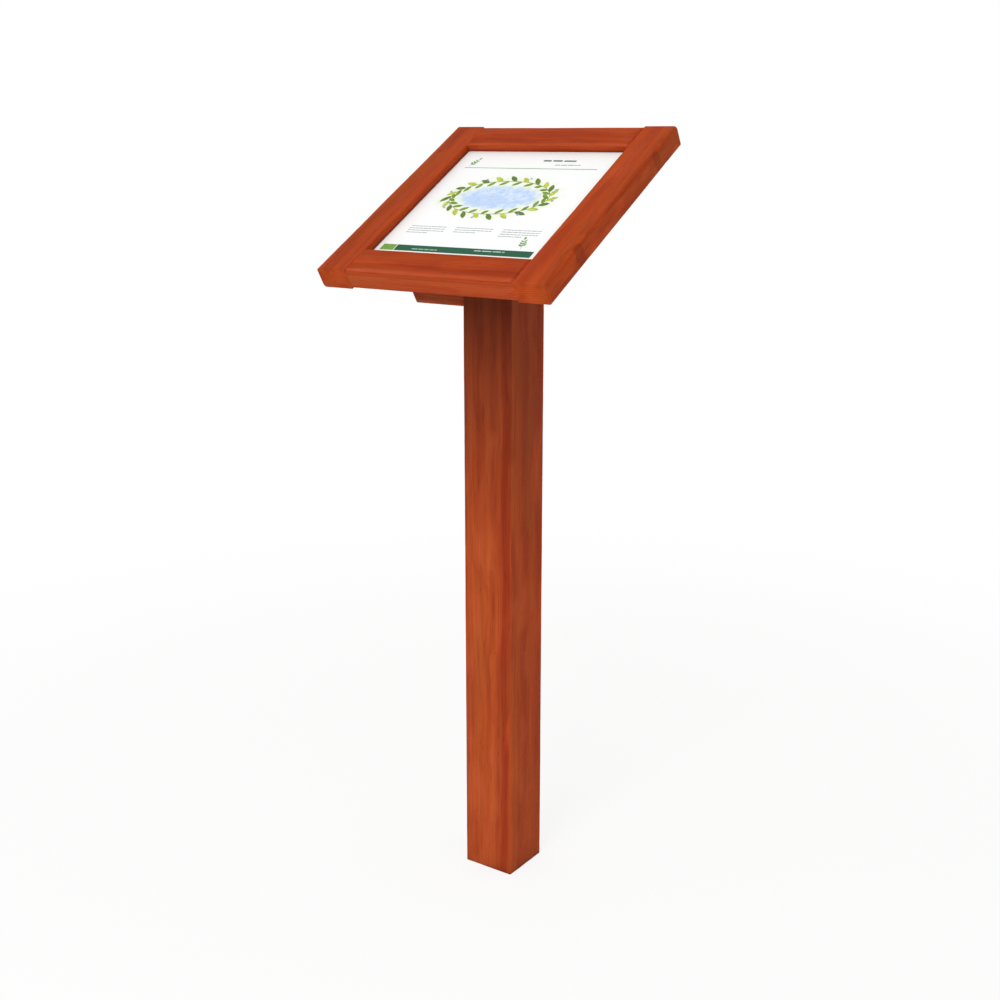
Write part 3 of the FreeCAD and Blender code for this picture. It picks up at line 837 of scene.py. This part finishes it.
def washes(g, ink, s, t, flat):
    """A green glow under the wreath, and a rippled blue pool with a deep patch inside it."""
    wobble = g.swing(g.noise(flat, 0.045, 4.0, 0.62), OVAL_RAGGED)
    pooled = g.noise(flat, 0.085, 4.0, 0.65, 0.4)

    def oval(middle, half, soft):
        """1 inside an uneven oval."""
        a = g.math("DIVIDE", g.minus(s, middle[0]), half[0])
        b = g.math("DIVIDE", g.minus(t, middle[1]), half[1])
        out = g.plus(g.plus(g.times(a, a), g.times(b, b)), wobble)
        return g.step(out, 1.0 + soft, 1.0 - soft)

    glow = g.mix(g.step(pooled, *TWO_TONES), GLOW_GREEN, GLOW_PALE)
    ink = g.mix(g.times(oval(*GLOW_OVAL), GLOW_SHARE), ink, glow)
    pool = g.mix(g.step(pooled, 0.38, 0.64), POOL_BLUE, POOL_PALE)
    ripple = g.noise(g.join(g.times(s, 0.05), g.times(t, 0.8), 0.0))
    pool = g.mix(g.share(ripple, 0.52, 0.66, 0.5), pool, POOL_RIPPLE)
    ink = g.mix(oval(*POOL_OVAL), ink, pool)
    deep = g.share(pooled, 0.46, 0.66, 0.8)
    return g.mix(g.times(oval(*DEEP_OVAL), deep), ink, POOL_DEEP)


def print_face():
    """The printed sheet: trimmed paper with soft washes, faint specks, and damp creeping in at the foot."""
    g = Graph("printed face")
    parts = g.split(slope_place(g, g.here()))
    s = g.times(g.minus(parts[0], SLOPE.opening_low.x), PER_METRE)
    t = g.times(g.minus(parts[1], SLOPE.opening_low.y), PER_METRE)
    flat = g.join(s, t, 0.0)
    ink = washes(g, trimmed_paper(g, s, t), s, t, flat)
    ink = g.mix(g.share(g.noise(flat, 1.9), 0.72, 0.78, SPECK_SHARE), ink, SPECKS)
    damp = g.times(g.step(t, TRIM_FOOT, DAMP_FULL), g.step(g.noise(flat, 0.09, 3.0), 0.40, 0.62))
    ink = g.mix(g.times(damp, DAMP_SHARE), ink, DAMP)
    gloss = g.plus(g.times(g.noise(flat, 0.02), SHEET_CLOUD_ROUGHNESS), SHEET_ROUGHNESS)
    return g.finish(ink, gloss, g.noise(flat, 1.2), SHEET_RISE, Specular_IOR_Level=SHEET_SPECULAR)


# Ink over the sheet, in metres: its lift, its thickness, and each tone's lift over the one below. Its
# colour and gloss vary in clouds
PRINT_LIFT = 0.00006
INK_THICKNESS = 0.00008
TONE_LIFT = 0.00004
INK_CLOUD, INK_TONE = (260.0, 3.0, 0.6), 0.14
INK_ROUGHNESS, INK_CLOUD_ROUGHNESS, INK_SPECULAR = 0.40, 0.1, 0.15


def ink_look(name, colour, tone):
    """Ink that is darker and lighter in clouds, by the share that tone gives."""
    g = Graph(name)
    cloud = g.noise(g.here(), *INK_CLOUD)
    dark, light = (tuple(c * (1 + change) for c in colour) for change in (-tone, tone))
    gloss = g.plus(g.times(cloud, INK_CLOUD_ROUGHNESS), INK_ROUGHNESS)
    return g.finish(g.mix(g.step(cloud, *SOFT_TONES), dark, light), gloss, Specular_IOR_Level=INK_SPECULAR)


def printed_marks(name, outlines, colour, lift=PRINT_LIFT, tone=INK_TONE):
    """Flat marks on the printed sheet, each an outline of points in millimetres from the opening's corner."""
    bm = bmesh.new()
    low, height = SLOPE.opening_low, SLOPE.sheet_face + lift
    rise = SLOPE.matrix.to_3x3() @ Vector((0, 0, INK_THICKNESS))
    for outline in outlines:
        points = [SLOPE.matrix @ Vector((low.x + s * MM, low.y + t * MM, height)) for s, t in outline]
        face = bm.faces.new([bm.verts.new(p) for p in points])
        raised = bmesh.ops.extrude_face_region(bm, geom=[face])["geom"]
        bmesh.ops.translate(bm, vec=rise, verts=[v for v in raised if isinstance(v, bmesh.types.BMVert)])
    bmesh.ops.recalc_face_normals(bm, faces=bm.faces)
    piece = new_piece(name, bm, ink_look(name.replace("_", " "), colour, tone))
    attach(piece, "root")


# Dummy text, in times its height: the bars' least and most length and height, and the gap between them
BAR_LENGTHS, BAR_HEIGHTS, BAR_GAP = (2.2, 6.4), (0.85, 1.0), 0.7
LAST_ROW = 0.62


def bar(s, t, length, height):
    return [(s, t), (s + length, t), (s + length, t + height), (s, t + height)]


def dummy_text(seed, s, t, width, height, rows=1, gap=0.0):
    """Rows of short plain bars of uneven length, the last row shorter than the others."""
    pick = random.Random(seed)
    bars = []
    for row in range(rows):
        at = s
        end = s + width * (1.0 if row < rows - 1 else LAST_ROW)
        while at < end:
            length = min(pick.uniform(*BAR_LENGTHS) * height, end - at)
            if length > height:
                bars.append(bar(at, t - row * gap, length, height * pick.uniform(*BAR_HEIGHTS)))
            at += length + height * BAR_GAP
    return bars


LEAF_STEPS = 9
LEAF_SHOULDER = 0.8


def leaf(s, t, length, breadth, turn):
    """A pointed oval leaf from its stalk, turned anticlockwise in degrees."""
    c, si = math.cos(math.radians(turn)), math.sin(math.radians(turn))
    bows = [math.sin(math.pi * k / LEAF_STEPS) ** LEAF_SHOULDER for k in range(LEAF_STEPS + 1)]
    upper = [(length * k / LEAF_STEPS, breadth / 2 * bow) for k, bow in enumerate(bows)]
    lower = [(a, -b) for a, b in reversed(upper[1:-1])]
    return [(s + a * c - b * si, t + a * si + b * c) for a, b in upper + lower]


# A sprig, in times its size: from one pair of leaves to the next, half the stalk's width, the leaf at
# the tip, and the pairs' leaves, which shrink upwards and stand out by so many degrees. The breadth of a
# leaf is in times its length, and at the tip in times the sprig's size
SPRIG_STEP = 0.62
STALK_HALF = 0.05
TIP_LEAF = 0.9
PAIR_LEAF, PAIR_SHRINK, PAIR_SPREAD = 1.05, 0.10, 48
LEAF_BREADTH = 0.42


def sprig(s, t, pairs, size, turn):
    """A straight stalk with pairs of round-shouldered leaves."""
    c, si = math.cos(math.radians(turn)), math.sin(math.radians(turn))
    reach = size * (pairs + 1) * SPRIG_STEP
    thin = size * STALK_HALF
    tip = (s + c * reach, t + si * reach)
    stalk = [(s - si * thin, t + c * thin), (s + si * thin, t - c * thin), tip]
    leaves = [leaf(*tip, size * TIP_LEAF, size * LEAF_BREADTH, turn)]
    for k in range(1, pairs + 1):
        a = size * SPRIG_STEP * k
        small = size * (PAIR_LEAF - PAIR_SHRINK * k)
        for side in (-1, 1):
            leaves.append(leaf(s + c * a, t + si * a, small, small * LEAF_BREADTH, turn + side * PAIR_SPREAD))
    return [stalk] + leaves


# The wreath: leaves round it, the ring's width, the least and most size of a leaf, the outer and inner
# leaves as (length, breadth, (least, most turn in degrees)), and a berry at every sixth leaf, so far
# round from it and outside the ring
WREATH_LEAVES = 46
RING_WIDE = 1.3
LEAF_SIZES = (0.85, 1.15)
OUTER_LEAF, INNER_LEAF = (23.0, 9.4, (34, 50)), (18.0, 7.6, (30, 44))
BERRY_EVERY, BERRY_FIRST = 6, 3
BERRY_ROUND, BERRY_OUT = 0.05, 12.5
BERRY_RADIUS, BERRY_SIDES = 2.4, 12


def on_ring(a, out=0.0):
    """A place on the wreath's ring at an angle, or so far outside it."""
    (middle_s, middle_t), (half_s, half_t) = WREATH_MIDDLE, WREATH_HALF
    return middle_s + (half_s + out) * math.cos(a), middle_t + (half_t + out) * math.sin(a)


def berry(s, t):
    turns = [2 * math.pi * k / BERRY_SIDES for k in range(BERRY_SIDES)]
    return [(s + BERRY_RADIUS * math.cos(a), t + BERRY_RADIUS * math.sin(a)) for a in turns]


def wreath():
    """An oval ring of plain leaves and berries: one piece for each tone, so that no two lie in one plane."""
    pick = random.Random(23)
    ring, outer_pale, outer_deep, inner, berries = [], [], [], [], []
    for k in range(WREATH_LEAVES):
        a, b = (2 * math.pi * (k + shift) / WREATH_LEAVES for shift in (0, 1))
        (s0, t0), (s1, t1) = on_ring(a), on_ring(b)
        ring.append([(s0, t0), (s1, t1), on_ring(b, RING_WIDE), on_ring(a, RING_WIDE)])
        heading = math.degrees(math.atan2(t1 - t0, s1 - s0))
        size = pick.uniform(*LEAF_SIZES)
        length, breadth, turns = OUTER_LEAF if k % 2 else INNER_LEAF
        turn = pick.uniform(*turns)
        if k % 2:
            row = outer_pale if k % 4 == 1 else outer_deep
            row.append(leaf(s0, t0, length * size, breadth, heading - turn))
        else:
            inner.append(leaf(s0, t0, length * size, breadth, heading + turn))
        if k % BERRY_EVERY == BERRY_FIRST:
            berries.append(berry(*on_ring(a + BERRY_ROUND, BERRY_OUT)))
    tones = (
        ("print_wreath_ring", ring, (0.20, 0.23, 0.03), INK_TONE),
        ("print_leaves_inner", inner, (0.17, 0.30, 0.025), 0.35),
        ("print_leaves_pale", outer_pale, (0.50, 0.57, 0.06), 0.30),
        ("print_leaves_deep", outer_deep, (0.12, 0.20, 0.02), 0.40),
        ("print_berries", berries, (0.30, 0.43, 0.85), 0.2),
    )
    for k, (name, outlines, colour, tone) in enumerate(tones):
        printed_marks(name, outlines, colour, PRINT_LIFT + k * TONE_LIFT, tone)


def printing():
    """The crisp marks of the print: dummy text, a rule, sprigs, the wreath and the foot band."""
    wide, tall = print_size()
    right = wide - TRIM_RIGHT
    heading = dummy_text(3, 176.0, tall - 30.0, width=112.0, height=5.0)
    printed_marks("print_heading", heading, (0.16, 0.20, 0.18))
    text = dummy_text(5, 206.0, tall - 42.0, width=82.0, height=2.2)
    for seed, s, rows in ((7, 30.0, 4), (11, 124.0, 3), (13, 218.0, 4)):
        text += dummy_text(seed, s, 92.0, width=74.0, height=1.7, rows=rows, gap=6.2)
    printed_marks("print_text", text, (0.30, 0.33, 0.33))
    printed_marks("print_rule", [bar(24.0, tall - 54.0, right - 38.0, 1.5)], (0.13, 0.32, 0.13))
    greens = sprig(30.0, tall - 48.0, 3, 9.0, 66) + sprig(right - 30.0, 44.0, 3, 10.0, 104)
    printed_marks("print_sprigs", greens, (0.13, 0.33, 0.05), tone=0.3)
    wreath()
    band = bar(TRIM_LEFT + PATCH_WIDE, TRIM_FOOT, right - TRIM_LEFT - PATCH_WIDE, BAND_TALL)
    printed_marks("print_foot_band", [band], (0.007, 0.095, 0.044))
    patch = bar(TRIM_LEFT, TRIM_FOOT, PATCH_WIDE - PATCH_GAP, BAND_TALL)
    printed_marks("print_foot_patch", [patch], (0.17, 0.36, 0.06))
    marks = dummy_text(17, right - 112.0, TRIM_FOOT + BAND_TALL * 0.55, width=96.0, height=3.0)
    marks += dummy_text(19, right - 236.0, TRIM_FOOT + BAND_TALL * 0.30, width=84.0, height=2.4)
    printed_marks("print_foot_text", marks, (0.42, 0.60, 0.50), PRINT_LIFT + 2 * INK_THICKNESS)


def small_parts():
    """Materials of the pieces that keep their CAD shape."""
    give(["printed_sheet"], print_face())
    laminate = matt("laminate core", (0.03, 0.032, 0.034), (0.05, 0.052, 0.055), 900.0, 0.45, 0.00002)
    give(["print_panel"], laminate)
    give(["backing_board"], plywood())
    foam = matt("foam tape", (0.012, 0.012, 0.013), (0.03, 0.03, 0.032), 1500.0, 0.75, 0.0002)
    give(["panel_gasket"], foam)
    give_timber(["left_bead", "right_bead"], "stained side beads", Y, UNDER_STAIN)
    give_timber(["bottom_bead", "top_bead"], "stained end beads", X, UNDER_STAIN)
    give_timber(["corner_dowels"], "beech dowels", X, BEECH)
    stainless = steel("stainless steel", (0.60, 0.58, 0.55), 0.34)
    give(["head_screws", "batten_screws", "bead_screws", "cleat_top_screws"], stainless)
    zinc = steel("zinc coat", (0.52, 0.54, 0.56), 0.48, 220.0)
    give(["cleat_screws", "cleat_washers", "ground_socket"], zinc)


def floor():
    """A wide pale floor: near white to the eye, with the object's shadow, and plain matt to bounced light.

    Its underside lets the eye through, so that the sign can be looked at from below.
    """
    mesh = bpy.data.meshes.new("floor")
    r = FLOOR_REACH
    mesh.from_pydata([(-r, -r, 0), (r, -r, 0), (r, r, 0), (-r, r, 0)], [], [(0, 1, 2, 3)])
    g = Graph("pale floor")
    path = g.add("LightPath", {})
    x, y = g.split(g.here())[:2]
    far = g.step(g.length(x, y), *FLOOR_FADE)
    glow = g.plus(g.times(far, 1.0 - FLOOR_GLOW), FLOOR_GLOW)
    greys = ((level, level, level, 1.0) for level in (FLOOR_BOUNCE, 1.0))
    bounce, white = (g.add("BsdfDiffuse", {"Color": grey}).outputs[0] for grey in greys)
    plain = g.add("Emission", {"Color": WHITE, "Strength": 1.0}).outputs[0]
    shown = g.add("MixShader", {0: glow, 1: white, 2: plain}).outputs[0]
    surface = g.add("MixShader", {0: g.seen(path), 1: bounce, 2: shown}).outputs[0]
    beneath = g.times(g.add("NewGeometry", {}).outputs["Backfacing"], path.outputs["Is Camera Ray"])
    clear = g.add("BsdfTransparent", {}).outputs[0]
    surface = g.add("MixShader", {0: beneath, 1: surface, 2: clear}).outputs[0]
    g.add("OutputMaterial", {"Surface": surface})
    mesh.materials.append(g.owner)
    stage = placed("floor", mesh)


def light():
    """An even sky, white to the eye, and one broad soft lamp from the reader's left."""
    g = Graph("studio", "worlds")
    lit = g.add("Background", {"Color": SKY_COLOUR, "Strength": SKY_LEVEL}).outputs[0]
    shown = g.add("Background", {"Color": WHITE, "Strength": 1.0}).outputs[0]
    either = g.add("MixShader", {0: g.seen(g.add("LightPath", {})), 1: lit, 2: shown}).outputs[0]
    g.add("OutputWorld", {"Surface": either})
    bpy.context.scene.world = g.owner
    lamp = bpy.data.lights.new("key", "AREA")
    lamp.energy = KEY_POWER
    lamp.size = KEY_SIZE
    key = placed("key", lamp)
    key.location = KEY_PLACE
    key.rotation_euler = (KEY_AIM - KEY_PLACE).to_track_quat("-Z", "Y").to_euler()


def camera():
    """The photograph's viewpoint."""
    lens = bpy.data.cameras.new("camera")
    lens.lens = CAMERA_LENS
    lens.sensor_width = CAMERA_SENSOR
    lens.clip_end = 2 * FLOOR_REACH
    eye = placed("camera", lens)
    eye.location = CAMERA_PLACE
    eye.rotation_euler = (math.pi / 2 - CAMERA_DIP, 0, CAMERA_TURN)
    bpy.context.scene.camera = eye


camera()
light()
floor()
frame_members()
members_below()
small_parts()
printing()
bpy.context.scene.view_settings.view_transform = "Standard"
bpy.context.view_layer.update()
